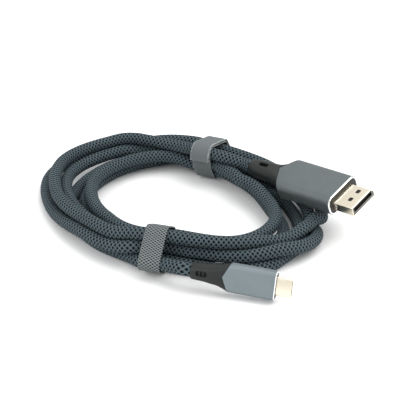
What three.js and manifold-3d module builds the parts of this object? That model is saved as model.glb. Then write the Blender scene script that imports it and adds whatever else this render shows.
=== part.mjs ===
// Braided video cable with a small reversible plug on one end and a wide display plug on the
// other, wound in a loose oval coil and held by two hook-and-loop straps.
// Millimetres, +Z up, the coil lies on Z = 0 and the view of the photo looks along +Y.

import * as THREE from 'three';
import { mergeVertices } from 'three/addons/utils/BufferGeometryUtils.js';
import Module from 'manifold-3d';

const wasm = await Module();
wasm.setup();

// Clearances
const cordGap = 0.3; // cable end to boot, boot to housing
const trimGap = 0.05; // between the tiny pieces inside the plugs
const strandGap = 0.15; // spare room between two runs of the cable

// Cable
const cable = { diameter: 6, sides: 12, ringsPerTurn: 14 };

// The coil: its middle, and for each turn the reach from the middle and the height of the
// cable's centre at every compass station, clockwise from the front. A run that the photo shows
// is firm, and a hidden one gives way to it.
const coil = { x: -9, y: -15, stationStep: 30, firstStation: -90 };
// The part's origin: under the middle of the box round the straps and plugs
const origin = { x: 25.9, y: -26.01 };
const turns = [
  { reach: [59.5, 51, 51.5, 53.5, 56, 60.5, 63, 54.5, 49, 52, 65, 66],
    height: [4.5, 3, 3, 3, 3, 3, 3, 3, 3, 3, 3, 3],
    firm: [1, 1, 1, 1, 1, 0.3, 0.3, 0.3, 0.3, 0.3, 1, 1] },
  { reach: [54, 46, 48, 54, 62.5, 62, 53, 36, 32.5, 39, 50.5, 55],
    height: [3.5, 3.2, 6, 9, 8, 8.5, 9, 11, 12, 11, 10, 11],
    firm: [1, 0.3, 0.3, 0.3, 1, 1, 1, 1, 1, 1, 1, 1] },
  { reach: [46.5, 44, 41, 42.5, 47.5, 49, 48, 40, 40, 42, 55, 53.5],
    height: [12.5, 11.5, 10.5, 10, 9.2, 9, 8.5, 6, 4, 3, 3, 4],
    firm: [1, 1, 1, 1, 1, 1, 1, 0.7, 0.7, 0.7, 0.7, 0.4] },
  { reach: [46, 41.5, 43, 46, 51, 55, 57, 48, 48.5, 59, 69, 63.5],
    height: [5, 5, 4.5, 3.5, 3, 3, 3, 8, 8, 6, 4.5, 8.5],
    firm: [0.4, 0.2, 0.2, 0.2, 0.2, 0.2, 0.2, 0.3, 0.5, 0.7, 1, 1] },
  { reach: [49.5, 53.5, 53, 62, 75, 73, 56, 49, 53, 65, 64, 60],
    height: [9, 8.5, 6, 4, 4, 7, 12, 13, 10, 6.5, 7, 12],
    firm: [0.7, 0.4, 1, 1, 1, 1, 1, 1, 0.7, 0.7, 1, 1] },
  { reach: [51, 52, 51.5, 59, 67.5, 65, 47, 35],
    height: [15, 13, 12, 12, 13, 13, 13.5, 16.5],
    firm: [1, 1, 1, 1, 1, 1, 1, 1] },
];
// Settling of the coil: runs of cable are pushed apart until they lie beside each other.
const settling = {
  step: 3, // distance between points
  rounds: 120,
  near: 8, // neighbours on the same run, left alone
  lead: 3, // points held at each plug
  slack: 1.5, // extra room round the plugs
  ease: 0.12, // pull towards a smooth line
  hold: 0.22, // pull back to the drawn route
  crowd: 1.3, // share of a push where several runs meet
};

// Straps: width along the cable, thickness of one layer, and where each closes the bundle
const strap = { width: 10, thickness: 1.1, clearance: 0.3, corners: 12, ramp: 24 };
const straps = {
  front: { x: -18.4, y: -64.9, yaw: -17 },
  back: { x: 6.1, y: 29.1, yaw: -24 },
};

// Small plug: housing, nose shell and boot. Its own frame has X to the nose, Y across, Z through.
const slim = {
  nose: [31.96, -93.56, 7.5],
  yaw: -17,
  pitch: -2,
  roll: 74,
  width: 12.4,
  thickness: 6.2,
  length: 20.1,
  point: 3,
  corner: 1.8,
  wall: 0.8,
  bezel: 0.5,
  recess: 0.15,
  shell: { width: 8.34, thickness: 2.56, corner: 1.27, exposed: 6.65, wall: 0.3, seat: 3, key: 0 },
  slot: { width: 6.7, thickness: 1.0, depth: 5.6, setback: 0.4 },
  contact: { count: 12, pitch: 0.5, width: 0.28, thickness: 0.2, length: 4.4, setback: 0.9 },
  boot: { length: 14, collar: 7, neck: 7.8, neckFrom: 6, flare: 4.5 },
  vent: { at: 5.2, length: 5, width: 2.3, depth: 1.3, ribs: 2, rib: 0.45 },
};

// Display plug, in the same kind of frame
const display = {
  nose: [65.3, -34.6, 19.9],
  yaw: -44.4,
  pitch: 4,
  roll: 18.8,
  width: 21.5,
  thickness: 10,
  length: 31,
  point: 6,
  corner: 3.8,
  wall: 0.8,
  bezel: 0.5,
  recess: 0.2,
  shell: { width: 16.1, thickness: 4.76, corner: 0.6, exposed: 11.5, wall: 0.35, seat: 4, key: 2 },
  slot: { width: 13.2, thickness: 2.2, depth: 8.5, setback: 0.4 },
  contact: { count: 10, pitch: 1.2, width: 0.6, thickness: 0.3, length: 7, setback: 1.2 },
  boot: { length: 18.5, collar: 7, neck: 9.2, neckFrom: 4, flare: 5 },
  vent: { at: 8, length: 5.4, width: 2.3, depth: 2, ribs: 0, rib: 0.5 },
  latch: { at: 6.9, spread: 5.8, length: 2, width: 2.4 },
};

// Shape shared by both housings and boots
const rimSlope = 0.8; // how far a bezel leans in, as a share of its depth
const bootForm = { lip: 0.8, swell: 0.4, roundness: 0.45, widening: 0.8, flareSteps: 4 };
const past = 1; // how far a cutter runs past what it cuts
const sliver = 0.01; // overlap of a cutter with a face it opens

const toRadians = THREE.MathUtils.degToRad;

// Geometry helpers

function toSolid(geometry) {
  const bare = geometry.clone();
  bare.deleteAttribute('normal');
  bare.deleteAttribute('uv');
  const merged = mergeVertices(bare, 1e-4);
  const mesh = new wasm.Mesh({
    numProp: 3,
    vertProperties: new Float32Array(merged.attributes.position.array),
    triVerts: new Uint32Array(merged.index.array),
  });
  return new wasm.Manifold(mesh);
}

function toGeometry(solid) {
  const mesh = solid.getMesh();
  const geometry = new THREE.BufferGeometry();
  geometry.setAttribute('position', new THREE.BufferAttribute(new Float32Array(mesh.vertProperties), 3));
  geometry.setIndex(new THREE.BufferAttribute(new Uint32Array(mesh.triVerts), 1));
  return geometry;
}

function roundedRect(width, height, radius, arcSteps = 4) {
  const points = [];
  const corners = [[1, 1, 0], [-1, 1, 90], [-1, -1, 180], [1, -1, 270]];
  for (const [sx, sy, start] of corners) {
    for (let k = 0; k <= arcSteps; k += 1) {
      const a = toRadians(start + (90 * k) / arcSteps);
      const x = sx * (width / 2 - radius) + radius * Math.cos(a);
      const y = sy * (height / 2 - radius) + radius * Math.sin(a);
      points.push(new THREE.Vector2(x, y));
    }
  }
  return points;
}

// A section in the plug's Y and Z, drawn out along X from one place to another
function alongX(points, from, to) {
  const shape = new THREE.Shape(points);
  const geometry = new THREE.ExtrudeGeometry(shape, { depth: to - from, bevelEnabled: false });
  const axes = new THREE.Matrix4().set(0, 0, 1, from, 1, 0, 0, 0, 0, 1, 0, 0, 0, 0, 0, 1);
  return geometry.applyMatrix4(axes);
}

// An outline in the plug's X and Y, drawn out along Z from one height to another
function alongZ(points, from, to) {
  const shape = new THREE.Shape(points);
  const geometry = new THREE.ExtrudeGeometry(shape, { depth: to - from, bevelEnabled: false });
  return geometry.translate(0, 0, from);
}

// Skin over a row of closed loops with the same number of points, closed at both ends
function loft(loops) {
  const count = loops[0].length;
  const positions = [];
  const index = [];
  for (const loop of loops) {
    for (const p of loop) positions.push(p.x, p.y, p.z);
  }
  for (let i = 0; i + 1 < loops.length; i += 1) {
    for (let k = 0; k < count; k += 1) {
      const a = i * count + k;
      const b = i * count + ((k + 1) % count);
      index.push(a, b, b + count, a, b + count, a + count);
    }
  }
  for (const last of [false, true]) {
    const loop = loops[last ? loops.length - 1 : 0];
    const first = last ? (loops.length - 1) * count : 0;
    const middle = loop.reduce((sum, p) => sum.add(p), new THREE.Vector3()).divideScalar(count);
    const hub = positions.length / 3;
    positions.push(middle.x, middle.y, middle.z);
    for (let k = 0; k < count; k += 1) {
      const a = first + k;
      const b = first + ((k + 1) % count);
      if (last) index.push(a, b, hub);
      else index.push(b, a, hub);
    }
  }
  const geometry = new THREE.BufferGeometry();
  geometry.setAttribute('position', new THREE.Float32BufferAttribute(positions, 3));
  geometry.setIndex(index);
  return geometry;
}

// Places of the plugs

function plugGroup(plug) {
  const group = new THREE.Group();
  group.position.set(...plug.nose);
  group.rotation.set(toRadians(plug.roll), toRadians(-plug.pitch), toRadians(plug.yaw), 'ZYX');
  group.updateMatrix();
  return group;
}

const slimGroup = plugGroup(slim);
const displayGroup = plugGroup(display);

// Where the cable enters a boot, and a place further out along the same axis
function cableExit(plug, group, further = 0) {
  const back = plug.length + plug.point + plug.boot.length + cordGap + further;
  return new THREE.Vector3(-back, 0, 0).applyMatrix4(group.matrix);
}

// Cable route

function stationAngle(k) {
  return toRadians(coil.firstStation - coil.stationStep * k);
}

function routePoints() {
  const points = [cableExit(slim, slimGroup), cableExit(slim, slimGroup, cable.diameter)];
  const firmness = [1, 1];
  turns.forEach((turn, n) => {
    turn.reach.forEach((reach, k) => {
      if (n === 0 && k === 0) return;
      const a = stationAngle(k);
      const x = coil.x + reach * Math.cos(a);
      const y = coil.y + reach * Math.sin(a);
      points.push(new THREE.Vector3(x, y, turn.height[k]));
      firmness.push(turn.firm[k]);
    });
  });
  points.push(cableExit(display, displayGroup, cable.diameter), cableExit(display, displayGroup));
  firmness.push(1, 1);
  return { points, firmness };
}

// The route as evenly spaced points, each as firm as the route point nearest to it
function evenRun({ points, firmness }, step) {
  const curve = new THREE.CatmullRomCurve3(points, false, 'catmullrom', 0.5);
  curve.arcLengthDivisions = points.length * 24;
  const count = Math.round(curve.getLength() / step);
  const run = [];
  for (let k = 0; k <= count; k += 1) {
    const t = curve.getUtoTmapping(k / count);
    run.push({ at: curve.getPoint(t), firm: firmness[Math.round(t * (points.length - 1))] });
  }
  return run;
}

// How high the cable's centre has to be: on the floor, or on the strap that passes under it
function floorAt(p) {
  let lift = 0;
  for (const place of Object.values(straps)) {
    const yaw = toRadians(place.yaw);
    const along = Math.abs((p.x - place.x) * Math.cos(yaw) + (p.y - place.y) * Math.sin(yaw));
    const across = Math.abs((p.y - place.y) * Math.cos(yaw) - (p.x - place.x) * Math.sin(yaw));
    if (across > strap.ramp) continue;
    const ramp = THREE.MathUtils.clamp((along - strap.width / 2) / strap.ramp, 0, 1);
    lift = Math.max(lift, (strap.thickness + strap.clearance) * (1 - ramp));
  }
  return cable.diameter / 2 + lift;
}

// A plug as round bars, which the cable keeps clear of: one in the boot, three in the housing
function plugBars(plug, group) {
  const end = -plug.length - plug.point - plug.boot.length;
  const side = (plug.width - plug.thickness) / 2;
  const cornerReach = Math.SQRT2 * (plug.thickness / 2 - plug.corner) + plug.corner;
  const bars = [{ from: [end, 0], to: [-plug.length, 0], radius: plug.boot.neck / 2 }];
  for (const y of [-side, 0, side]) {
    bars.push({ from: [-plug.length, y], to: [0, y], radius: cornerReach });
  }
  return bars.map(({ from, to, radius }) => ({
    line: new THREE.Line3(
      new THREE.Vector3(from[0], from[1], 0).applyMatrix4(group.matrix),
      new THREE.Vector3(to[0], to[1], 0).applyMatrix4(group.matrix)),
    reach: radius + cable.diameter / 2 + settling.slack,
  }));
}

const keptClear = [...plugBars(slim, slimGroup), ...plugBars(display, displayGroup)];
const nearest = new THREE.Vector3();

function keepClear(p) {
  for (const { line, reach } of keptClear) {
    line.closestPointToPoint(p, true, nearest);
    const distance = p.distanceTo(nearest);
    if (distance < reach) p.sub(nearest).multiplyScalar(reach / distance).add(nearest);
  }
}

// Pushes runs of cable apart where they would cross, while each run holds to its place
function settle(run) {
  const firm = run.map((r) => r.firm);
  const home = run.map((r) => r.at.clone());
  const path = run.map((r) => r.at.clone());
  const last = path.length - 1;
  const apart = cable.diameter + strandGap;
  for (let round = 0; round < settling.rounds; round += 1) {
    const hold = settling.hold * (1 - round / settling.rounds);
    const before = path.map((p) => p.clone());
    for (let i = settling.lead; i <= last - settling.lead; i += 1) {
      const middle = before[i - 1].clone().add(before[i + 1]).multiplyScalar(0.5);
      path[i].lerp(middle, settling.ease).lerp(home[i], hold * firm[i]);
    }
    for (let half = 0; half < 2; half += 1) {
      const push = path.map(() => new THREE.Vector3());
      const count = path.map(() => 0);
      for (let i = 0; i <= last; i += 1) {
        for (let j = i + settling.near + 1; j <= last; j += 1) {
          const away = path[i].clone().sub(path[j]);
          const distance = away.length();
          if (distance >= apart) continue;
          away.multiplyScalar((apart - distance) / Math.max(distance, 1e-6) / (firm[i] + firm[j]));
          push[i].addScaledVector(away, firm[j]);
          push[j].addScaledVector(away, -firm[i]);
          count[i] += 1;
          count[j] += 1;
        }
      }
      for (let i = settling.lead; i <= last - settling.lead; i += 1) {
        const share = count[i] > 1 ? settling.crowd / count[i] : 1;
        path[i].addScaledVector(push[i], share);
        keepClear(path[i]);
        path[i].z = Math.max(path[i].z, floorAt(path[i]));
      }
    }
  }
  return path;
}

const cablePath = settle(evenRun(routePoints(), settling.step));

// Rings at the same compass directions on every turn, so that neighbouring runs stay parallel
function ringPoints(path) {
  const stepAngle = (2 * Math.PI) / cable.ringsPerTurn;
  const leadIn = 2;
  const rings = [path[0], path[leadIn]];
  const end = path[path.length - 1];
  const clear = (p) => Math.min(p.distanceTo(path[0]), p.distanceTo(end)) > 2 * cable.diameter;
  let turned = 0;
  let next = null;
  for (let i = 1; i < path.length; i += 1) {
    const a = Math.atan2(path[i - 1].y - coil.y, path[i - 1].x - coil.x);
    const b = Math.atan2(path[i].y - coil.y, path[i].x - coil.x);
    const change = THREE.MathUtils.euclideanModulo(a - b + Math.PI, 2 * Math.PI) - Math.PI;
    if (next === null) {
      turned = -a;
      next = Math.ceil(turned / stepAngle + 0.4) * stepAngle;
    }
    while (next <= turned + change && change > 0) {
      const ring = path[i - 1].clone().lerp(path[i], (next - turned) / change);
      if (clear(ring)) rings.push(ring);
      next += stepAngle;
    }
    turned += change;
  }
  rings.push(path[path.length - 1 - leadIn], end);
  return rings;
}

const cableRings = ringPoints(cablePath);

class RingCurve extends THREE.Curve {
  constructor(points) {
    super();
    this.points = points;
  }

  getPointAt(u, target = new THREE.Vector3()) {
    const place = u * (this.points.length - 1);
    const k = Math.min(Math.floor(place), this.points.length - 2);
    return target.copy(this.points[k]).lerp(this.points[k + 1], place - k);
  }

  getTangentAt(u, target = new THREE.Vector3()) {
    const last = this.points.length - 1;
    const k = Math.round(u * last);
    const ahead = this.points[Math.min(k + 1, last)];
    const behind = this.points[Math.max(k - 1, 0)];
    return target.copy(ahead).sub(behind).normalize();
  }
}

function cableGeometry() {
  const section = new THREE.Shape();
  for (let k = 0; k < cable.sides; k += 1) {
    const a = (2 * Math.PI * k) / cable.sides;
    const x = (cable.diameter / 2) * Math.cos(a);
    const y = (cable.diameter / 2) * Math.sin(a);
    if (k === 0) section.moveTo(x, y);
    else section.lineTo(x, y);
  }
  section.closePath();
  const steps = cableRings.length - 1;
  const curve = new RingCurve(cableRings);
  return new THREE.ExtrudeGeometry(section, { steps, extrudePath: curve, bevelEnabled: false });
}

// Straps

// Smallest outline around a set of points, anticlockwise
function hull(points) {
  const sorted = [...points].sort((a, b) => a.x - b.x || a.y - b.y);
  const turn = (o, a, b) => (a.x - o.x) * (b.y - o.y) - (a.y - o.y) * (b.x - o.x);
  const half = (list) => {
    const chain = [];
    for (const p of list) {
      while (chain.length > 1 && turn(chain.at(-2), chain.at(-1), p) <= 0) chain.pop();
      chain.push(p);
    }
    chain.pop();
    return chain;
  };
  return [...half(sorted), ...half(sorted.reverse())];
}

const cableMiddles = new RingCurve(cableRings).getSpacedPoints((cableRings.length - 1) * 12);

// Outline of the bundle where a strap closes it, grown by a margin; x is across, y is up
function bundleOutline(place, margin) {
  const yaw = toRadians(place.yaw);
  const points = [];
  for (const p of [...cablePath, ...cableMiddles]) {
    const along = (p.x - place.x) * Math.cos(yaw) + (p.y - place.y) * Math.sin(yaw);
    const across = (p.y - place.y) * Math.cos(yaw) - (p.x - place.x) * Math.sin(yaw);
    if (Math.abs(along) > strap.width / 2 + settling.step || Math.abs(across) > strap.ramp) continue;
    for (let k = 0; k < strap.corners; k += 1) {
      const a = (2 * Math.PI * (k + 0.5)) / strap.corners;
      const radius = cable.diameter / 2 + margin;
      points.push(new THREE.Vector2(across + radius * Math.cos(a), p.z + radius * Math.sin(a)));
    }
  }
  return hull(points);
}

function strapMesh(name, place, material) {
  const outer = bundleOutline(place, strap.clearance + strap.thickness);
  const inner = bundleOutline(place, strap.clearance);
  const shape = new THREE.Shape(outer.map((p) => new THREE.Vector2(p.x, Math.max(p.y, 0))));
  shape.holes.push(new THREE.Path(inner));
  const geometry = new THREE.ExtrudeGeometry(shape, { depth: strap.width, bevelEnabled: false });
  const axes = new THREE.Matrix4().set(0, 0, 1, -strap.width / 2, 1, 0, 0, 0, 0, 1, 0, 0, 0, 0, 0, 1);
  const mesh = new THREE.Mesh(geometry.applyMatrix4(axes), material);
  mesh.name = name;
  mesh.position.set(place.x, place.y, 0);
  mesh.rotation.z = toRadians(place.yaw);
  return mesh;
}

// Plugs

// Plan of a housing from above: square nose, pointed rear
function housingPlan(plug, grow, noseX) {
  const half = plug.width / 2 + grow + past;
  const slope = plug.point / (plug.width / 2);
  const rear = -plug.length - grow;
  return [
    new THREE.Vector2(rear - plug.point, 0),
    new THREE.Vector2(rear + slope * (half - plug.width / 2), -half),
    new THREE.Vector2(noseX, -half),
    new THREE.Vector2(noseX, half),
    new THREE.Vector2(rear + slope * (half - plug.width / 2), half),
  ];
}

function housingGeometry(plug) {
  const section = roundedRect(plug.width, plug.thickness, plug.corner);
  const tube = alongX(section, -plug.length - plug.point - past, -plug.bezel);
  const rimSection = (shrink) => roundedRect(
    plug.width - 2 * shrink, plug.thickness - 2 * shrink, plug.corner - shrink);
  const rimLoop = (shrink, x) => rimSection(shrink).map((p) => new THREE.Vector3(x, p.x, p.y));
  const rim = loft([rimLoop(0, -plug.bezel), rimLoop(plug.bezel * rimSlope, 0)]);
  const bore = alongX(
    roundedRect(plug.width - 2 * plug.wall, plug.thickness - 2 * plug.wall, plug.corner - plug.wall / 2),
    -plug.length - plug.point - 2 * past, past);
  const plan = alongZ(housingPlan(plug, 0, past), -plug.thickness, plug.thickness);
  const solid = toSolid(tube).add(toSolid(rim)).subtract(toSolid(bore)).intersect(toSolid(plan));
  return toGeometry(solid);
}

function shellSection(plug, grow) {
  const { width, thickness, corner, key } = plug.shell;
  const w = width / 2 + grow;
  const t = thickness / 2 + grow;
  const flat = roundedRect(2 * w, 2 * t, corner + grow);
  if (!key) return flat;
  const cut = key + grow * (2 - Math.SQRT2);
  const clipped = flat.filter((p) => !(p.x > w - cut && p.y > t - cut));
  const first = clipped.findIndex((p) => p.x < w - cut && p.y > 0);
  clipped.splice(first, 0, new THREE.Vector2(w, t - cut), new THREE.Vector2(w - cut, t));
  return hull(clipped);
}

function insertGeometry(plug) {
  const width = plug.width - 2 * plug.wall - 2 * trimGap;
  const thickness = plug.thickness - 2 * plug.wall - 2 * trimGap;
  const block = alongX(
    roundedRect(width, thickness, plug.corner - plug.wall / 2 - trimGap), -plug.length, -plug.recess);
  const pocket = alongX(shellSection(plug, trimGap), -plug.recess - plug.shell.seat, past);
  return toGeometry(toSolid(block).subtract(toSolid(pocket)));
}

function shellGeometry(plug) {
  const { exposed, wall, seat } = plug.shell;
  const rear = -plug.recess - seat + trimGap;
  const body = alongX(shellSection(plug, 0), rear, exposed);
  const bore = alongX(shellSection(plug, -wall), rear + wall, exposed + past);
  let solid = toSolid(body).subtract(toSolid(bore));
  if (plug.latch) {
    const { at, spread, length, width } = plug.latch;
    for (const side of [-1, 1]) {
      const window = new THREE.BoxGeometry(length, width, 4 * wall);
      window.translate(at, (side * spread) / 2, plug.shell.thickness / 2);
      solid = solid.subtract(toSolid(window));
    }
  }
  return toGeometry(solid);
}

function blockGeometry(plug) {
  const { exposed, wall, seat } = plug.shell;
  const rear = -plug.recess - seat + trimGap + wall + trimGap;
  const front = exposed - plug.slot.setback;
  const body = alongX(shellSection(plug, -wall - trimGap), rear, front);
  const slot = new THREE.BoxGeometry(plug.slot.depth, plug.slot.width, plug.slot.thickness);
  slot.translate(front - plug.slot.depth / 2 + sliver, 0, 0);
  return toGeometry(toSolid(body).subtract(toSolid(slot)));
}

function contactMeshes(plug, prefix, material) {
  const { count, pitch, width, thickness, length, setback } = plug.contact;
  const meshes = [];
  for (const side of [1, -1]) {
    for (let k = 0; k < count; k += 1) {
      const mesh = new THREE.Mesh(new THREE.BoxGeometry(length, width, thickness), material);
      const x = plug.shell.exposed - plug.slot.setback - setback - length / 2;
      const y = (k - (count - 1) / 2) * pitch;
      const z = side * (plug.slot.thickness / 2 - thickness / 2 - trimGap);
      mesh.position.set(x, y, z);
      mesh.name = `${prefix}_contact_${side > 0 ? 'upper' : 'lower'}_${String(k + 1).padStart(2, '0')}`;
      meshes.push(mesh);
    }
  }
  return meshes;
}

// Boot: round collar at the cable, a plain neck, then a flare into the housing's full width
function bootGeometry(plug) {
  const { length, collar, neck, neckFrom, flare } = plug.boot;
  const { lip, swell, roundness, widening, flareSteps } = bootForm;
  const shoulder = -plug.length - cordGap;
  const rear = -plug.length - plug.point - length;
  const flareStart = -plug.length - plug.point - flare;
  const thick = collar + swell;
  const stations = [
    { x: rear, w: collar, t: collar, r: roundness },
    { x: rear + lip, w: collar + swell, t: thick, r: roundness },
    { x: rear + neckFrom, w: neck, t: thick, r: roundness },
  ];
  for (let k = 0; k <= flareSteps; k += 1) {
    const s = k / flareSteps;
    stations.push({
      x: THREE.MathUtils.lerp(flareStart, shoulder, s),
      w: THREE.MathUtils.lerp(neck + widening, plug.width, s * s),
      t: THREE.MathUtils.lerp(thick, plug.thickness, s),
      r: THREE.MathUtils.lerp(roundness, plug.corner / plug.thickness, s),
    });
  }
  const end = stations[stations.length - 1];
  stations.push({ ...end, x: shoulder + plug.point });
  const loops = stations.map(({ x, w, t, r }) => {
    const section = roundedRect(w, t, r * Math.min(w, t));
    return section.map((p) => new THREE.Vector3(x, p.x, p.y));
  });
  const plan = alongZ(housingPlan(plug, cordGap, plug.length), -plug.thickness, plug.thickness);
  let solid = toSolid(loft(loops)).subtract(toSolid(plan));
  const { at, length: long, width, depth, ribs, rib } = plug.vent;
  const bottom = thick / 2 - depth;
  for (const side of [-1, 1]) {
    const opening = alongZ(roundedRect(long, width, width * roundness), 0, plug.thickness);
    let cutter = toSolid(opening.translate(rear + at, 0, bottom));
    for (let k = 0; k < ribs; k += 1) {
      const bar = new THREE.BoxGeometry(rib, width + past, depth);
      const x = rear + at + ((k + 1) / (ribs + 1) - 0.5) * long;
      cutter = cutter.subtract(toSolid(bar.translate(x, 0, bottom)));
    }
    if (side < 0) cutter = cutter.rotate([180, 0, 0]);
    solid = solid.subtract(cutter);
  }
  return toGeometry(solid);
}

// Materials

function material(color, roughness, metalness) {
  return new THREE.MeshStandardMaterial({ color, roughness, metalness, side: THREE.FrontSide });
}

const materials = {
  braid: material('#4d5a62', 0.85, 0),
  hookAndLoop: material('#8a8d8f', 0.95, 0),
  rubber: material('#3b4040', 0.6, 0),
  slimHousing: material('#8c9aa3', 0.45, 0.8),
  displayHousing: material('#757c7f', 0.45, 0.8),
  insert: material('#2f2b28', 0.6, 0),
  shell: material('#d8cbb3', 0.25, 1),
  insulator: material('#2a2c2d', 0.5, 0),
  contact: material('#c9a45c', 0.25, 1),
};

// Assembly

function named(name, geometry, surface) {
  const mesh = new THREE.Mesh(geometry, surface);
  mesh.name = name;
  return mesh;
}

function buildPlug(plug, group, prefix, housingMaterial) {
  group.add(
    named(`${prefix}_boot`, bootGeometry(plug), materials.rubber),
    named(`${prefix}_housing`, housingGeometry(plug), housingMaterial),
    named(`${prefix}_insert`, insertGeometry(plug), materials.insert),
    named(`${prefix}_shell`, shellGeometry(plug), materials.shell),
    named(`${prefix}_contact_block`, blockGeometry(plug), materials.insulator),
    ...contactMeshes(plug, prefix, materials.contact),
  );
  return group;
}

const cableAssembly = new THREE.Group();
cableAssembly.name = 'braided_video_cable';
cableAssembly.position.set(-origin.x, -origin.y, 0);
cableAssembly.add(
  named('braided_cable', cableGeometry(), materials.braid),
  strapMesh('strap_front', straps.front, materials.hookAndLoop),
  strapMesh('strap_back', straps.back, materials.hookAndLoop),
  buildPlug(slim, slimGroup, 'slim_plug', materials.slimHousing),
  buildPlug(display, displayGroup, 'display_plug', materials.displayHousing),
);

export default cableAssembly;
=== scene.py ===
import bmesh
import bpy
import math
import numpy as np
from mathutils import Matrix, Vector


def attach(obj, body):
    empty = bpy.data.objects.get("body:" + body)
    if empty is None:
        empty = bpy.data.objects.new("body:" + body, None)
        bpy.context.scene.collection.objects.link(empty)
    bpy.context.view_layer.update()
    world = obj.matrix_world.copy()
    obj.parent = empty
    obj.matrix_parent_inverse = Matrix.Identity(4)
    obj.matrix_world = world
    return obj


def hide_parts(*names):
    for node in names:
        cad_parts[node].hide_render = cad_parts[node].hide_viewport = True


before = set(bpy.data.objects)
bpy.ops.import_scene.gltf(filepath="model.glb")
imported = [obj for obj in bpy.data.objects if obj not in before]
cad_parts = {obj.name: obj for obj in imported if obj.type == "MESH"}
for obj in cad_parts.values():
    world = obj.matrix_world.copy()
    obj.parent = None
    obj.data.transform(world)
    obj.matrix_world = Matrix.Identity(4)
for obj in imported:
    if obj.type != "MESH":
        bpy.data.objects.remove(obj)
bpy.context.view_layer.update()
mm = 0.001
origin = np.array([25.9, -26.01, 0.0])  # the part's origin, seen from the middle of the photo

# Camera
view = {"tilt": 27, "distance": 600, "pixelsPerMm": 2.05, "frameWidth": 400, "sensor": 36}


def makeCamera():
    tilt = math.radians(view["tilt"])
    data = bpy.data.cameras.new("photoCamera")
    data.sensor_width = view["sensor"]
    data.lens = view["sensor"] * view["pixelsPerMm"] * view["distance"] / view["frameWidth"]
    data.clip_start, data.clip_end = 0.01, 20
    camera = bpy.data.objects.new("photoCamera", data)
    bpy.context.collection.objects.link(camera)
    back = Vector((0, -math.cos(tilt), math.sin(tilt))) * view["distance"] * mm
    camera.location = back - Vector(origin) * mm
    camera.rotation_euler = (math.pi / 2 - tilt, 0, 0)
    bpy.context.scene.camera = camera


makeCamera()


# Shader maths: a Signal is one socket, and the operators add the nodes
class Signal:
    def __init__(self, paint, socket):
        self.paint = paint
        self.socket = socket

    def mathNode(self, operation, *values):
        return self.paint.node("ShaderNodeMath", {"operation": operation}, dict(enumerate(values)))

    def __add__(self, other):
        return self.mathNode("ADD", self, other)

    def __sub__(self, other):
        return self.mathNode("SUBTRACT", self, other)

    def __rsub__(self, other):
        return self.mathNode("SUBTRACT", other, self)

    def __mul__(self, other):
        return self.mathNode("MULTIPLY", self, other)

    def __truediv__(self, other):
        return self.mathNode("DIVIDE", self, other)

    def __pow__(self, other):
        return self.mathNode("POWER", self, other)

    def __abs__(self):
        return self.mathNode("ABSOLUTE", self)

    __radd__ = __add__
    __rmul__ = __mul__


class Paint:
    def __init__(self, name, sockets=None):
        self.material = bpy.data.materials.new(name)
        self.material.use_nodes = True
        self.tree = self.material.node_tree
        self.shader = self.tree.nodes["Principled BSDF"]
        for socket, value in (sockets or {}).items():
            self.feed(self.shader.inputs[socket], value)

    def feed(self, socket, value):
        if isinstance(value, Signal):
            self.tree.links.new(value.socket, socket)
        else:
            socket.default_value = value

    def node(self, kind, settings=None, inputs=None, output=0):
        node = self.tree.nodes.new(kind)
        for key, value in (settings or {}).items():
            setattr(node, key, value)
        for key, value in (inputs or {}).items():
            self.feed(node.inputs[key], value)
        return Signal(self, node.outputs[output])

    def place(self):
        return self.node("ShaderNodeTexCoord", output="Object")

    def strip(self):  # how far along and how far across, as laid in the mesh
        uv = self.node("ShaderNodeUVMap", {"uv_map": "lay"})
        along = self.node("ShaderNodeSeparateXYZ", inputs={0: uv}, output=0)
        across = self.node("ShaderNodeSeparateXYZ", inputs={0: uv}, output=1)
        return along, across

    def noise(self, where, scale, detail=3, roughness=0.5):
        sizes = {"Vector": where, "Scale": scale, "Detail": detail, "Roughness": roughness}
        return self.node("ShaderNodeTexNoise", {}, sizes, "Fac")

    def stretch(self, where, x, y, z):
        return self.node("ShaderNodeVectorMath", {"operation": "MULTIPLY"}, {0: where, 1: (x, y, z)})

    def rise(self, value, low, high):  # 0 below low, 1 above high, smooth between
        ends = {"Value": value, "From Min": low, "From Max": high}
        return self.node("ShaderNodeMapRange", {"interpolation_type": "SMOOTHSTEP"}, ends)

    def larger(self, a, b):
        return self.node("ShaderNodeMath", {"operation": "MAXIMUM"}, {0: a, 1: b})

    def fraction(self, a):
        return self.node("ShaderNodeMath", {"operation": "FRACT"}, {0: a})

    def wave(self, a):
        return self.node("ShaderNodeMath", {"operation": "SINE"}, {0: a})

    def blend(self, amount, a, b):
        inputs = {0: amount, 6: a, 7: b}
        return self.node("ShaderNodeMix", {"data_type": "RGBA"}, inputs, 2)

    def bump(self, height, depth, strength=1.0):
        inputs = {"Height": height, "Distance": depth, "Strength": strength}
        self.feed(self.shader.inputs["Normal"], self.node("ShaderNodeBump", {}, inputs))

    def set(self, socket, value):
        self.feed(self.shader.inputs[socket], value)


def grey(value):
    return (value, value, value, 1)


# Mesh helpers
def tidyNormals(mesh, smoothBelow):  # faces turned outwards, edges above the angle left sharp
    work = bmesh.new()
    work.from_mesh(mesh)
    bmesh.ops.recalc_face_normals(work, faces=work.faces)
    work.to_mesh(mesh)
    work.free()
    mesh.shade_smooth()
    mesh.set_sharp_from_angle(angle=math.radians(smoothBelow))


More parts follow.
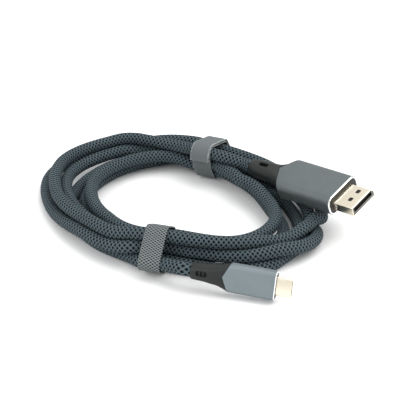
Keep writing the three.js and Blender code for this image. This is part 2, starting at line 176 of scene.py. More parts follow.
def newPiece(name, vertices, faces, lay=None, smoothBelow=35):  # lay: along and across, per point or corner
    mesh = bpy.data.meshes.new(name)
    mesh.from_pydata([tuple(map(float, v)) for v in vertices], [], faces)
    if lay is not None:
        layer = mesh.uv_layers.new(name="lay")
        corners = np.zeros(len(mesh.loops), int)
        mesh.loops.foreach_get("vertex_index", corners)
        if len(lay) == len(vertices):
            layer.data.foreach_set("uv", np.asarray(lay)[corners].ravel())
        else:
            layer.data.foreach_set("uv", np.asarray(lay).ravel())
    tidyNormals(mesh, smoothBelow)
    piece = bpy.data.objects.new(name, mesh)
    bpy.context.collection.objects.link(piece)
    return piece


def dress(piece, paint, slot, *nodes):  # painted, on the root body, in place of the solids named
    piece.data.materials.append(paint.material)
    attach(piece, "root")
    if nodes:
        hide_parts(*nodes)
    return piece


def lerp(a, b, s):
    return a + (b - a) * s


def gridFaces(rows, columns):  # rings of points joined into a tube
    faces = []
    for i in range(rows - 1):
        for k in range(columns):
            a, b = i * columns + k, i * columns + (k + 1) % columns
            faces.append((a, b, b + columns, a + columns))
    return faces


def roundedRect(width, height, radius, arcSteps=8, flats=1):
    points = []
    for sx, sy, start in [(1, 1, 0), (-1, 1, 90), (-1, -1, 180), (1, -1, 270)]:
        for k in range(arcSteps + 1):
            a = math.radians(start + 90 * k / arcSteps)
            x = sx * (width / 2 - radius) + radius * math.cos(a)
            y = sy * (height / 2 - radius) + radius * math.sin(a)
            points.append((x, y))
        if sx * sy > 0:  # points along the wide sides
            half = width / 2 - radius
            points += [(sx * half * (1 - 2 * k / flats), sy * height / 2) for k in range(1, flats)]
    return points


# Places of the plugs
slim = {
    "nose": (31.96, -93.56, 7.5), "yaw": -17, "pitch": -2, "roll": 74,
    "width": 12.4, "thickness": 6.2, "length": 20.1, "point": 3, "corner": 1.8,
    "wall": 0.8, "bezel": 0.5, "recess": 0.15,
    "bootLength": 14, "collar": 7, "neck": 7.8, "neckFrom": 6, "flare": 4.5,
    "vent": {"at": 5.2, "length": 5, "width": 2.3, "depth": 1.3, "ribs": 2, "rib": 0.45},
    "shell": {"width": 8.34, "thickness": 2.56, "corner": 1.27, "exposed": 6.65, "wall": 0.3,
              "seat": 3, "key": 0},
}
display = {
    "nose": (65.3, -34.6, 19.9), "yaw": -44.4, "pitch": 4, "roll": 18.8,
    "width": 21.5, "thickness": 10, "length": 31, "point": 6, "corner": 3.8,
    "wall": 0.8, "bezel": 0.5, "recess": 0.2,
    "bootLength": 18.5, "collar": 7, "neck": 9.2, "neckFrom": 4, "flare": 5,
    "vent": {"at": 8, "length": 5.4, "width": 2.3, "depth": 2, "ribs": 0, "rib": 0.5},
    "shell": {"width": 16.1, "thickness": 4.76, "corner": 0.6, "exposed": 11.5, "wall": 0.35,
              "seat": 4, "key": 2},
    "latch": {"at": 6.9, "spread": 5.8, "length": 2, "width": 2.4},
}
cordGap = 0.3


def plugMatrix(plug):
    turn = Matrix.Rotation(math.radians(plug["yaw"]), 4, "Z")
    tip = Matrix.Rotation(math.radians(-plug["pitch"]), 4, "Y")
    roll = Matrix.Rotation(math.radians(plug["roll"]), 4, "X")
    return Matrix.Translation(Vector(plug["nose"])) @ turn @ tip @ roll


for plug in (slim, display):
    plug["matrix"] = np.array(plugMatrix(plug))


def fromPlug(plug, points):  # a plug's own X runs out of its mouth, Y across its wide side
    points = np.atleast_2d(np.asarray(points, float))
    return points @ plug["matrix"][:3, :3].T + plug["matrix"][:3, 3]


def cableExit(plug, further=0.0):
    back = plug["length"] + plug["point"] + plug["bootLength"] + cordGap + further
    return fromPlug(plug, (-back, 0, 0))[0]


# Cable: the route of the coil
cable = {"diameter": 6.0, "sides": 24, "ringEvery": 1.1}
coil = {"x": -9, "y": -15, "stationStep": 30, "firstStation": -90}
turns = [  # reach and height, clockwise from the front; a run that the photo shows is firm
    {"reach": [59.5, 51, 51.5, 53.5, 56, 60.5, 63, 54.5, 49, 52, 65, 66],
     "height": [4.5, 3, 3, 3, 3, 3, 3, 3, 3, 3, 3, 3],
     "firm": [1, 1, 1, 1, 1, 0.3, 0.3, 0.3, 0.3, 0.3, 1, 1]},
    {"reach": [54, 46, 48, 54, 62.5, 62, 53, 36, 32.5, 39, 50.5, 55],
     "height": [3.5, 3.2, 6, 9, 8, 8.5, 9, 11, 12, 11, 10, 11],
     "firm": [1, 0.3, 0.3, 0.3, 1, 1, 1, 1, 1, 1, 1, 1]},
    {"reach": [46.5, 44, 41, 42.5, 47.5, 49, 48, 40, 40, 42, 55, 53.5],
     "height": [12.5, 11.5, 10.5, 10, 9.2, 9, 8.5, 6, 4, 3, 3, 4],
     "firm": [1, 1, 1, 1, 1, 1, 1, 0.7, 0.7, 0.7, 0.7, 0.4]},
    {"reach": [46, 41.5, 43, 46, 51, 55, 57, 48, 48.5, 59, 69, 63.5],
     "height": [5, 5, 4.5, 3.5, 3, 3, 3, 8, 8, 6, 4.5, 8.5],
     "firm": [0.4, 0.2, 0.2, 0.2, 0.2, 0.2, 0.2, 0.3, 0.5, 0.7, 1, 1]},
    {"reach": [49.5, 53.5, 53, 62, 75, 73, 56, 49, 53, 65, 64, 60],
     "height": [9, 8.5, 6, 4, 4, 7, 12, 13, 10, 6.5, 7, 12],
     "firm": [0.7, 0.4, 1, 1, 1, 1, 1, 1, 0.7, 0.7, 1, 1]},
    {"reach": [51, 52, 51.5, 59, 67.5, 65, 47, 35],
     "height": [15, 13, 12, 12, 13, 13, 13.5, 16.5],
     "firm": [1, 1, 1, 1, 1, 1, 1, 1]},
]
settling = {"step": 3, "rounds": 120, "near": 8, "lead": 3, "slack": 1.5, "ease": 0.12, "hold": 0.22,
            "crowd": 1.3, "strandGap": 0.15}
strap = {"width": 10, "thickness": 1.1, "clearance": 0.3, "ramp": 24}
straps = {
    "front": {"x": -18.4, "y": -64.9, "yaw": -17},
    "back": {"x": 6.1, "y": 29.1, "yaw": -24},
}


def routePoints():
    points = [cableExit(slim), cableExit(slim, cable["diameter"])]
    firmness = [1, 1]
    for n, turn in enumerate(turns):
        for k, (reach, height) in enumerate(zip(turn["reach"], turn["height"])):
            if n == 0 and k == 0:
                continue
            a = math.radians(coil["firstStation"] - coil["stationStep"] * k)
            points.append((coil["x"] + reach * math.cos(a), coil["y"] + reach * math.sin(a), height))
            firmness.append(turn["firm"][k])
    points += [cableExit(display, cable["diameter"]), cableExit(display)]
    firmness += [1, 1]
    return np.array(points, float), np.array(firmness)


def smoothThrough(points, step, fine=24):  # even points on a curve through the given ones
    ends = np.vstack([2 * points[0] - points[1], points, 2 * points[-1] - points[-2]])
    a, b, c, d = ends[:-3], ends[1:-2], ends[2:-1], ends[3:]
    t = (np.arange(fine) / fine)[None, :, None]
    a, b, c, d = (v[:, None, :] for v in (a, b, c, d))
    curve = 0.5 * (2 * b + (c - a) * t + (2 * a - 5 * b + 4 * c - d) * t**2 + (3 * b - a - 3 * c + d) * t**3)
    curve = np.vstack([curve.reshape(-1, 3), points[-1:]])
    far = np.concatenate([[0], np.cumsum(np.linalg.norm(np.diff(curve, axis=0), axis=1))])
    places = np.linspace(0, far[-1], round(far[-1] / step) + 1)
    even = np.stack([np.interp(places, far, curve[:, k]) for k in range(3)], axis=1)
    nearest = np.rint(np.interp(places, far, np.arange(len(curve)) / fine)).astype(int)
    return even, nearest


def floorAt(points):  # a run stands on the floor, or on the strap under it
    lift = np.zeros(len(points))
    for place in straps.values():
        yaw = math.radians(place["yaw"])
        dx, dy = points[:, 0] - place["x"], points[:, 1] - place["y"]
        along = np.abs(dx * math.cos(yaw) + dy * math.sin(yaw))
        across = np.abs(dy * math.cos(yaw) - dx * math.sin(yaw))
        ramp = np.clip((along - strap["width"] / 2) / strap["ramp"], 0, 1)
        rise = (strap["thickness"] + strap["clearance"]) * (1 - ramp)
        lift = np.where(across > strap["ramp"], lift, np.maximum(lift, rise))
    return cable["diameter"] / 2 + lift


def plugBars(plug):  # the room of a plug as thick lines that the runs keep clear of
    end = -plug["length"] - plug["point"] - plug["bootLength"]
    side = (plug["width"] - plug["thickness"]) / 2
    corner = math.sqrt(2) * (plug["thickness"] / 2 - plug["corner"]) + plug["corner"]
    bars = [((end, 0, 0), (-plug["length"], 0, 0), plug["neck"] / 2)]
    bars += [((-plug["length"], y, 0), (0, y, 0), corner) for y in (-side, 0, side)]
    room = cable["diameter"] / 2 + settling["slack"]
    return [(*fromPlug(plug, (a, b)), radius + room) for a, b, radius in bars]


def keepClear(points, bars):
    for a, b, reach in bars:
        along = np.clip((points - a) @ (b - a) / ((b - a) @ (b - a)), 0, 1)[:, None]
        nearest = a + along * (b - a)
        away = points - nearest
        distance = np.maximum(np.linalg.norm(away, axis=1), 1e-6)[:, None]
        points = np.where(distance < reach, nearest + away * reach / distance, points)
    return points


def settle(start, firm):  # pushes the runs apart where they would cross, each held to its place
    home, path = start.copy(), start.copy()
    bars = plugBars(slim) + plugBars(display)
    count = len(path)
    index = np.arange(count)
    pairs = np.abs(index[:, None] - index[None, :]) > settling["near"]
    free = slice(settling["lead"], count - settling["lead"])
    apart = cable["diameter"] + settling["strandGap"]
    for turn in range(settling["rounds"]):
        hold = settling["hold"] * (1 - turn / settling["rounds"])
        middle = path.copy()
        middle[1:-1] = (path[:-2] + path[2:]) / 2
        eased = path + settling["ease"] * (middle - path)
        eased += hold * firm[:, None] * (home - eased)
        path[free] = eased[free]
        for half in range(2):
            away = path[:, None, :] - path[None, :, :]
            distance = np.sqrt((away**2).sum(2))
            close = (distance < apart) & pairs
            yields = firm[None, :] / (firm[:, None] + firm[None, :])
            force = np.where(close, yields * (apart - distance) / np.maximum(distance, 1e-6), 0)
            push = (force[:, :, None] * away).sum(1)
            number = close.sum(1)
            share = np.where(number > 1, settling["crowd"] / np.maximum(number, 1), 1)
            moved = keepClear(path + push * share[:, None], bars)
            moved[:, 2] = np.maximum(moved[:, 2], floorAt(moved))
            path[free] = moved[free]
    return path


routeLine, routeFirm = routePoints()
evenLine, nearestPoint = smoothThrough(routeLine, settling["step"])
cablePath = settle(evenLine, routeFirm[nearestPoint])
cableLine, _ = smoothThrough(cablePath, cable["ringEvery"], 6)

# Cable: braid
braid = {
    "diamond": 2.05, "round": 7,  # length of one diamond, diamonds round the cable
    "yarnHalf": 0.228, "light": (0.125, 0.168, 0.188, 1), "mid": (0.02, 0.03, 0.036, 1),
    "dark": (0.0015, 0.002, 0.0025, 1), "depth": 0.38,
}


def braidPaint():
    paint = Paint("cableBraid", {"Roughness": 0.75, "Specular IOR Level": 0.08})
    along, across = paint.strip()
    p = along + across
    q = along - across
    over = paint.wave(p * math.pi) * paint.wave(q * math.pi)
    heights, covers = [], []
    for t, side in ((p, 1), (q, -1)):
        offset = abs(paint.fraction(t) - 0.5) / braid["yarnHalf"]  # 0 mid-line, 1 at the edge
        cover = 1 - paint.rise(offset, 0.86, 1.06)
        yarn = 1 - abs(offset * 2 - 1) ** 2.4  # two yarns lie side by side
        heights.append(cover * (0.35 + 0.65 * yarn) * (0.82 + side * 0.18 * over))
        covers.append(cover)
    height = paint.larger(heights[0], heights[1])
    cover = paint.larger(covers[0], covers[1])
    fibre = paint.noise(paint.place(), 2600, 3, 0.6)
    worn = paint.noise(paint.place(), 90, 2)
    # painted shade and light: the yarn's own teal is painted darker where the yarn lies low, at its edges
    # and where it dips under, and lighter on its crowns
    heightShade = paint.rise(height * (0.7 + 0.6 * fibre), 0.2, 1.0)
    colour = paint.blend(heightShade, braid["mid"], braid["light"])
    colour = paint.blend(worn * 0.25, colour, braid["mid"])
    # painted shade: the gaps between the yarns are painted near-black
    paint.set("Base Color", paint.blend(cover, braid["dark"], colour))
    paint.bump(height + fibre * 0.12, braid["depth"] * mm)
    return paint


def frames(line):  # directions that stay square to the line without twisting
    tangent = np.gradient(line, axis=0)
    tangent /= np.linalg.norm(tangent, axis=1)[:, None]
    side = np.cross(tangent[0], (0, 0, 1))
    sides = []
    for t in tangent:
        side = side - t * (side @ t)
        side = side / np.linalg.norm(side)
        sides.append(side)
    sides = np.array(sides)
    return tangent, sides, np.cross(tangent, sides)


def makeCable():
    _, side, up = frames(cableLine)
    far = np.concatenate([[0], np.cumsum(np.linalg.norm(np.diff(cableLine, axis=0), axis=1))])
    angles = 2 * np.pi * np.arange(cable["sides"]) / cable["sides"]
    ring = np.cos(angles)[None, :, None] * side[:, None, :] + np.sin(angles)[None, :, None] * up[:, None, :]
    vertices = cableLine[:, None, :] + ring * cable["diameter"] / 2
    rows, columns = vertices.shape[:2]
    vertices = (vertices.reshape(-1, 3) - origin) * mm
    faces = gridFaces(rows, columns)
    lay = []
    for i in range(rows - 1):
        for k in range(columns):
            u0, u1 = far[i] / braid["diamond"], far[i + 1] / braid["diamond"]
            v0, v1 = k / columns * braid["round"], (k + 1) / columns * braid["round"]
            lay += [(u0, v0), (u0, v1), (u1, v1), (u1, v0)]
    for first in (0, (rows - 1) * columns):
        face = list(range(first, first + columns))
        faces.append(face[::-1] if first == 0 else face)
        lay += [(0, 0)] * columns
    return newPiece("braidedCable", vertices, faces, lay)


braidedCable = dress(makeCable(), braidPaint(), "braid", "braided_cable")
print("cable made")


# Straps
def hull(points):
    points = sorted(map(tuple, points))

    def half(rows):
        chain = []
        for p in rows:
            while len(chain) > 1:
                (ax, ay), (bx, by) = chain[-2], chain[-1]
                if (bx - ax) * (p[1] - ay) - (by - ay) * (p[0] - ax) > 0:
                    break
                chain.pop()
            chain.append(p)
        return chain[:-1]

    return np.array(half(points) + half(points[::-1]))


def bundleOutline(place, margin, corners=40):  # the outline of all the runs inside a strap
    yaw = math.radians(place["yaw"])
    dx, dy = cableLine[:, 0] - place["x"], cableLine[:, 1] - place["y"]
    along = dx * math.cos(yaw) + dy * math.sin(yaw)
    across = dy * math.cos(yaw) - dx * math.sin(yaw)
    inside = (np.abs(along) < strap["width"] / 2 + 1) & (np.abs(across) < strap["ramp"])
    a = 2 * np.pi * np.arange(corners) / corners
    radius = cable["diameter"] / 2 + margin
    x = across[inside][:, None] + radius * np.cos(a)
    z = cableLine[inside, 2][:, None] + radius * np.sin(a)
    return hull(np.stack([x.ravel(), z.ravel()], axis=1))


def evenLoop(loop, count):  # even points round a loop, and its girth
    closed = np.vstack([loop, loop[:1]])
    far = np.concatenate([[0], np.cumsum(np.linalg.norm(np.diff(closed, axis=0), axis=1))])
    places = np.linspace(0, far[-1], count, endpoint=False)
    return np.stack([np.interp(places, far, closed[:, k]) for k in range(2)], axis=1), far[-1]


strapForm = {"rows": 160, "offRuns": 0.12, "easing": 3, "lap": 4, "peelLength": 6, "offLower": 0.1,
             "thinner": 0.8, "edgeRound": 0.42, "offFloor": 0.02}
strapLook = {  # where the band starts round its loop, then lengths in mm
    "front": {"startsAt": 0.3, "overlap": 9, "peel": 0.2, "stitch": 1.0},
    "back": {"startsAt": 0.62, "overlap": 31, "peel": 1.1, "stitch": 0.55},
}


def strapSection(thick):  # one cross-section, its edges rounded
    half, r = strap["width"] / 2, thick * strapForm["edgeRound"]
    side = [(half - r, thick), (half - r * 0.3, thick - r * 0.3), (half, thick / 2),
            (half - r * 0.3, r * 0.3), (half - r, 0)]
    across = [half * 0.84 * share for share in (-0.66, -0.33, 0, 0.33, 0.66)]
    return ([(-w, t) for w, t in side[::-1]] + [(w, thick) for w in across] + side
            + [(w, 0) for w in across[::-1]])


def makeStrap(name, place, look):  # one band round the runs, its end lying over its start
    loopCount = strapForm["rows"]
    loop, girth = evenLoop(bundleOutline(place, strapForm["offRuns"]), loopCount)
    for _ in range(strapForm["easing"]):
        loop = (np.roll(loop, 1, axis=0) + 2 * loop + np.roll(loop, -1, axis=0)) / 4
    ahead = np.roll(loop, -1, axis=0) - np.roll(loop, 1, axis=0)
    normal = np.stack([ahead[:, 1], -ahead[:, 0]], axis=1)
    normal /= np.linalg.norm(normal, axis=1)[:, None]
    step = girth / loopCount
    extra = round(look["overlap"] / step)
    lap = strapForm["lap"] / step
    thick = strap["thickness"] * strapForm["thinner"]
    section = strapSection(thick)
    yaw = math.radians(place["yaw"])
    alongAxis = np.array([math.cos(yaw), math.sin(yaw), 0])
    acrossAxis = np.array([-math.sin(yaw), math.cos(yaw), 0])
    middle = np.array([place["x"], place["y"], 0])
    rows = loopCount + extra
    vertices, lay = [], []
    for i in range(rows):
        k = (round(look["startsAt"] * loopCount) + i) % loopCount
        share = np.clip((i - loopCount + lap) / lap, 0, 1)
        lift = share * share * (3 - 2 * share) * (thick + strapForm["offLower"])
        lift += look["peel"] * max(0, 1 - (rows - 1 - i) * step / strapForm["peelLength"]) ** 2
        for w, t in section:
            p = loop[k] + normal[k] * (lift + t)
            point = middle + alongAxis * w + acrossAxis * p[0]
            point[2] = max(p[1], strapForm["offFloor"])
            vertices.append((point - origin) * mm)
            lay.append((i * step, w + (100 if t < thick * 0.4 else 0)))  # 100 marks the inner face
    columns = len(section)
    faces = gridFaces(rows, columns)
    faces.append(list(range(columns))[::-1])
    faces.append(list(range((rows - 1) * columns, rows * columns)))
    return newPiece(name, vertices, faces, lay, 50)


def strapPaint(name, look, woven):
    paint = Paint(name, {"Roughness": 0.9, "Specular IOR Level": 0.15})
    along, across = paint.strip()
    inner = paint.rise(across, 40, 60)
    grain = paint.noise(paint.place(), 3200, 3, 0.65)
    cloud = paint.noise(paint.place(), 240, 3)
    if woven:
        a = along / 1.15
        b = across / look["stitch"]
        cell = paint.wave((a + b * 0.5) * 2 * math.pi) * 0.5 + paint.wave((a - b * 0.5) * 2 * math.pi) * 0.5
        knit = paint.rise(cell, -0.6, 0.25)
        colour = paint.blend(knit, (0.006, 0.007, 0.0075, 1), (0.2, 0.222, 0.226, 1))
        height = knit + grain * 0.3
        depth = 0.25
    else:
        line = paint.wave(across / look["stitch"] * 2 * math.pi) * 0.5 + 0.5
        edge = paint.rise(abs(across), 4.1, 4.6)
        fray = edge * paint.rise(paint.noise(paint.place(), 1500, 2), 0.4, 0.62)
        colour = paint.blend(line * 0.25 + grain * 0.45, (0.10, 0.115, 0.118, 1), (0.18, 0.2, 0.203, 1))
        colour = paint.blend(fray * 0.8, colour, (0.42, 0.45, 0.455, 1))
        # painted shade: the lower layer of the band, under the flap and for about 15 mm past its end, is
        # darkened as the flap's shade
        under = 1 - paint.rise(along, look["overlap"] + 14, look["overlap"] + 16)
        colour = paint.blend(under * 0.45, colour, (0.07, 0.08, 0.08, 1))
        height = grain * 0.8 + line * 0.2
        depth = 0.08
    colour = paint.blend(cloud * 0.2, colour, (0.08, 0.088, 0.09, 1))
    paint.set("Base Color", paint.blend(inner, colour, (0.012, 0.014, 0.015, 1)))
    paint.bump(height, depth * mm)
    return paint


wovenStrap = strapPaint("frontStrapWeave", strapLook["front"], True)
feltStrap = strapPaint("backStrapFelt", strapLook["back"], False)
for word, paint in (("front", wovenStrap), ("back", feltStrap)):
    band = makeStrap(word + "Strap", straps[word], strapLook[word])
    dress(band, paint, "hook_and_loop", "strap_" + word)
print("straps made")


# Plug metal and plastic
def rubberPaint():
    paint = Paint("bootRubber", {"Specular IOR Level": 0.35})
    grain = paint.noise(paint.place(), 5200, 2)
    cloud = paint.noise(paint.place(), 260, 3)
    paint.set("Base Color", paint.blend(cloud, (0.0075, 0.01, 0.0095, 1), (0.014, 0.0175, 0.0165, 1)))
    paint.set("Roughness", 0.42 + cloud * 0.18)
    paint.bump(grain, 0.02 * mm)
    return paint


def anodisedPaint(name, low, high):
    paint = Paint(name, {"Metallic": 0.75})
    grain = paint.noise(paint.place(), 7000, 2, 0.7)
    cloud = paint.noise(paint.place(), 150, 3)
    paint.set("Base Color", paint.blend(cloud * 0.5 + grain * 0.5, low, high))
    paint.set("Roughness", 0.48 + grain * 0.12)
    paint.bump(grain, 0.008 * mm)
    return paint


def polishedPaint(name, colour, roughness):
    paint = Paint(name, {"Metallic": 1.0, "Base Color": colour})
    smear = paint.noise(paint.stretch(paint.place(), 1, 1, 3), 420, 3)
    paint.set("Roughness", roughness + smear * 0.12)
    paint.bump(paint.noise(paint.place(), 1500, 2), 0.004 * mm)
    return paint


def plasticPaint(name, colour, roughness):
    paint = Paint(name, {"Specular IOR Level": 0.4})
    cloud = paint.noise(paint.place(), 400, 3)
    darker = tuple(c * 0.7 for c in colour[:3]) + (1,)
    paint.set("Base Color", paint.blend(cloud, darker, colour))
    paint.set("Roughness", roughness + cloud * 0.1)
    paint.bump(paint.noise(paint.place(), 4200, 2), 0.01 * mm)
    return paint


def blockPaint(plug, name):  # grey at the mouth; behind the mouth it is painted near-black as shade, inside the slot and under the latch windows
    paint = Paint(name, {"Roughness": 0.5, "Specular IOR Level": 0.3})
    axis = plug["matrix"][:3, 0]
    dot = {0: paint.place(), 1: tuple(float(c) for c in axis)}
    reach = paint.node("ShaderNodeVectorMath", {"operation": "DOT_PRODUCT"}, dot, "Value") / mm
    depth = reach - float((plug["matrix"][:3, 3] - origin) @ axis)
    mouth = paint.rise(depth, plug["shell"]["exposed"] - 0.65, plug["shell"]["exposed"] - 0.45)
    cloud = paint.noise(paint.place(), 400, 3)
    face = paint.blend(cloud, (0.13, 0.135, 0.14, 1), (0.2, 0.205, 0.21, 1))
    # painted shade: all of the block behind its mouth takes the near-black colour
    paint.set("Base Color", paint.blend(mouth, (0.006, 0.006, 0.006, 1), face))
    return paint


rubber = rubberPaint()
slimMetal = anodisedPaint("slimHousingMetal", (0.16, 0.195, 0.21, 1), (0.23, 0.27, 0.285, 1))
displayMetal = anodisedPaint("displayHousingMetal", (0.11, 0.13, 0.132, 1), (0.165, 0.19, 0.192, 1))
bezelMetal = polishedPaint("bezelPolish", (0.86, 0.88, 0.9, 1), 0.08)
goldShell = polishedPaint("shellGoldPlate", (0.83, 0.76, 0.62, 1), 0.16)
goldContact = polishedPaint("contactGold", (0.85, 0.62, 0.28, 1), 0.15)
insertPlastic = plasticPaint("insertPlastic", (0.032, 0.031, 0.026, 1), 0.5)
blockPaints = {"slim": blockPaint(slim, "slimBlock"), "display": blockPaint(display, "displayBlock")}


def addAlong(plug, name, rings, smoothBelow=35):  # a closed body from cross-sections of one plug
    count = len(rings[0])
    vertices = (fromPlug(plug, np.vstack(rings)) - origin) * mm
    faces = gridFaces(len(rings), count)
    faces.append(list(range(count))[::-1])
    faces.append(list(range((len(rings) - 1) * count, len(rings) * count)))
    return newPiece(name, vertices, faces, None, smoothBelow)


def cutBy(piece, cutters):  # cuts the openings, then clears the cutters away
    for cutter in cutters:
        cut = piece.modifiers.new("cut", "BOOLEAN")
        cut.operation, cut.solver, cut.object = "DIFFERENCE", "EXACT", cutter
    graph = bpy.context.evaluated_depsgraph_get()
    mesh = bpy.data.meshes.new_from_object(piece.evaluated_get(graph))
    piece.modifiers.clear()
    piece.data = mesh
    for cutter in cutters:
        bpy.data.objects.remove(cutter)
    tidyNormals(mesh, 32)


def rearOf(plug, y, extra=0.0):  # the pointed rear edge of a housing
    return -plug["length"] - plug["point"] * (1 - abs(y) / (plug["width"] / 2)) - extra


def housingRings(plug):  # from the inside of the pointed rear, forwards and in over the rim
    def section(shrink):
        width, thickness = plug["width"] - 2 * shrink, plug["thickness"] - 2 * shrink
        return roundedRect(width, thickness, plug["corner"] - shrink, 8, 12)

    def pointed(shrink, forwards):
        return [(rearOf(plug, y, -forwards), y, z) for y, z in section(shrink)]

    def level(shrink, x):
        return [(x, y, z) for y, z in section(shrink)]

    wall, bezel, soft = plug["wall"], plug["bezel"], 0.12
    rim = bezel * 0.8
    rings = [pointed(wall, 0.6), pointed(soft * 3, 0), pointed(0.04, soft), pointed(0, 2.2 * soft)]
    for share in (0.25, 0.5, 0.75, 0.97):
        rings.append([(lerp(rearOf(plug, y), -bezel, share), y, z) for y, z in section(0)])
    rings += [level(0, -bezel), level(0.02, -bezel + 0.03), level(rim * 0.3, -bezel * 0.68)]
    polishedFrom = len(rings) - 1
    rings += [level(rim * 0.92, -0.06), level(rim, 0), level(wall * 0.96, 0), level(wall, -0.05)]
    rings.append(level(wall, -plug["recess"] - 0.3))
    return rings, polishedFrom


def makeHousing(plug, name, metal, slotName, node):
    rings, polishedFrom = housingRings(plug)
    piece = addAlong(plug, name, rings, 25)
    dress(piece, metal, slotName, node)
    piece.data.materials.append(bezelMetal.material)
    count = len(rings[0])
    for face in piece.data.polygons:
        if polishedFrom * count <= face.index < (len(rings) - 1) * count:
            face.material_index = 1
    return piece


bootForm = {"gap": 0.1, "swell": 0.4, "roundness": 0.45, "widening": 0.8, "neckSteps": 5, "flareSteps": 12}


def bootStations(plug):  # place along the plug, width, thickness and roundness, from the cable forwards
    collar, neck, roundness = plug["collar"], plug["neck"], bootForm["roundness"]
    rear = -plug["length"] - plug["point"] - plug["bootLength"]
    start, shoulder = rear + plug["neckFrom"], -plug["length"] - bootForm["gap"]
    flareStart = -plug["length"] - plug["point"] - plug["flare"]
    wide, thick = neck + bootForm["widening"], collar + bootForm["swell"]
    lip = [(0.02, -1.6), (0, -0.5), (0.15, -0.12), (0.5, 0.1), (1.2, bootForm["swell"])]
    stations = [(rear + x, collar + grow, collar + grow, roundness) for x, grow in lip]
    for k in range(bootForm["neckSteps"]):
        s = k / bootForm["neckSteps"]
        stations.append((lerp(start, flareStart, s), lerp(neck, wide, s), thick, roundness))
    for k in range(bootForm["flareSteps"] + 1):
        s = k / bootForm["flareSteps"]
        stations.append((lerp(flareStart, shoulder, s), lerp(wide, plug["width"], s * s),
                         lerp(thick, plug["thickness"], s * s * (3 - 2 * s)),
                         lerp(roundness, plug["corner"] / plug["thickness"], s)))
    return rear, thick, stations


def ventCutters(plug, rear, thick):
    vent = plug["vent"]
    outline = roundedRect(vent["length"], vent["width"], vent["width"] * 0.45, 6)
    cutters = []
    for side in (-1, 1):
        ends = sorted((side * (thick / 2 - vent["depth"]), side * (thick / 2 + 2)))
        rings = [[(rear + vent["at"] + x, y, z) for x, y in outline] for z in ends]
        cutters.append(addAlong(plug, "ventCutter", rings))
    return cutters


def makeRibs(plug, name, rear, thick):  # the bars across a vent
    vent = plug["vent"]
    outline = roundedRect(vent["rib"], vent["width"] * 0.96, 0.15, 3)
    heights = (thick / 2 - vent["depth"] - 0.1, thick / 2 - 0.35)
    ribs = []
    for k in range(vent["ribs"]):
        x = rear + vent["at"] + ((k + 1) / (vent["ribs"] + 1) - 0.5) * vent["length"]
        for side, place in ((-1, "Under"), (1, "Top")):
            rings = [[(x + u, y, side * z) for u, y in outline] for z in heights]
            rib = addAlong(plug, name + "Rib" + str(k + 1) + place, rings)
            ribs.append(dress(rib, rubber, "rubber"))
    return ribs


def makeBoot(plug, name, node):
    rear, thick, stations = bootStations(plug)
    half = plug["width"] / 2
    rings = []
    for x, w, t, r in stations:
        outline = roundedRect(w, t, min(r * min(w, t), min(w, t) / 2 - 0.01), 8, 12)
        rings.append([(min(x, rearOf(plug, min(abs(y), half), bootForm["gap"])), y, z) for y, z in outline])
    rings.append([(x, y * 0.97, z * 0.97) for x, y, z in rings[-1]])
    piece = addAlong(plug, name, rings)
    cutBy(piece, ventCutters(plug, rear, thick))
    return [*makeRibs(plug, name, rear, thick), dress(piece, rubber, "rubber", node)]


def shellSection(plug, grow):
    shell = plug["shell"]
    w, t = shell["width"] / 2 + grow, shell["thickness"] / 2 + grow
    corner = max(shell["corner"] + grow, 0.1)
    points = roundedRect(2 * w, 2 * t, corner, 8)
    if not shell["key"]:
        return points
    cut = shell["key"] + grow * (2 - math.sqrt(2))
    return [(w, t - cut), (w - cut, t)] + points[9:]


def makeShell(plug, name, node):
    shell = plug["shell"]
    rear = -plug["recess"] - shell["seat"] + 0.05
    tip, wall = shell["exposed"], shell["wall"]
    rings = [[(x, y, z) for y, z in shellSection(plug, g)] for x, g in (
        (rear, 0), (tip * 0.5, 0), (tip - 0.35, 0), (tip - 0.12, -0.05), (tip, -0.14), (tip, -wall * 0.8),
        (tip - 0.1, -wall), (tip * 0.5, -wall), (rear + wall, -wall))]
    piece = addAlong(plug, name, rings, 30)
    if "latch" in plug:
        latch = plug["latch"]
        cutters = []
        for side in (-1, 1):
            outline = roundedRect(latch["length"], latch["width"], 0.3, 4)
            middle = side * latch["spread"] / 2
            low = shell["thickness"] / 2 - 0.6
            rings = [[(latch["at"] + x, middle + y, z) for x, y in outline] for z in (low, low + 2)]
            cutters.append(addAlong(plug, "latchCutter", rings))
        cutBy(piece, cutters)
    return dress(piece, goldShell, "shell", node)


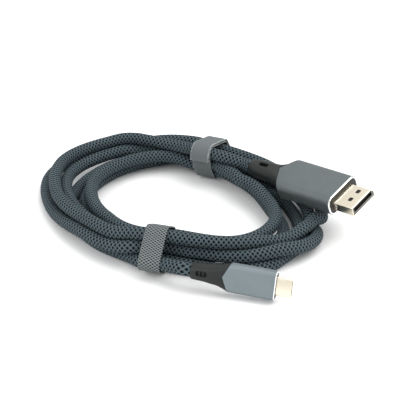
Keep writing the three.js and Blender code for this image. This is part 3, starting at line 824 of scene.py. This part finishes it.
plugPieces = {}
for plug, word, metal in ((slim, "slim", slimMetal), (display, "display", displayMetal)):
    pieces = plugPieces[word] = []
    pieces.append(makeHousing(plug, word + "Housing", metal, word + "_housing", word + "_plug_housing"))
    pieces += makeBoot(plug, word + "Boot", word + "_plug_boot")
    pieces.append(makeShell(plug, word + "Shell", word + "_plug_shell"))
print("plugs made")


def paintNode(name, paint):
    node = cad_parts[name]
    node.data.materials.clear()
    node.data.materials.append(paint.material)
    return node


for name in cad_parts:
    if name.endswith("insert"):
        paintNode(name, insertPlastic)
    elif name.endswith("contact_block"):
        paintNode(name, blockPaints[name.split("_")[0]])
    elif "contact" in name:
        paintNode(name, goldContact)

lastPoint = [float(c) for c in (cableExit(display) - origin) * mm]


# Floor and light
studio = {"floor": 6.0, "floorTone": 0.93, "sky": 0.98}
lamps = {  # place, size, power
    "keyLight": ((0.5, 0.12, 1.0), 1.2, 10),
    "fillLight": ((-0.8, -0.6, 0.7), 0.6, 4),
}


def makeStudio():
    half = studio["floor"] / 2
    mesh = bpy.data.meshes.new("studioFloor")
    corners = [(-half, -half, 0), (half, -half, 0), (half, half, 0), (-half, half, 0)]
    mesh.from_pydata(corners, [], [(0, 1, 2, 3)])
    floor = bpy.data.objects.new("studioFloor", mesh)
    bpy.context.collection.objects.link(floor)
    paint = Paint("floorPaper", {"Base Color": grey(studio["floorTone"]), "Roughness": 0.9})
    mesh.materials.append(paint.material)
    world = bpy.data.worlds.new("studioSky")
    world.use_nodes = True
    world.node_tree.nodes["Background"].inputs["Color"].default_value = (1, 1, 1, 1)
    world.node_tree.nodes["Background"].inputs["Strength"].default_value = studio["sky"]
    bpy.context.scene.world = world
    for name, (spot, size, power) in lamps.items():
        data = bpy.data.lights.new(name, "AREA")
        data.shape, data.size, data.energy = "SQUARE", size, power
        lamp = bpy.data.objects.new(name, data)
        bpy.context.collection.objects.link(lamp)
        lamp.location = spot
        lamp.rotation_euler = (-Vector(spot)).to_track_quat("-Z", "Y").to_euler()


makeStudio()
bpy.context.scene.view_settings.view_transform = "Standard"
print("studio made")
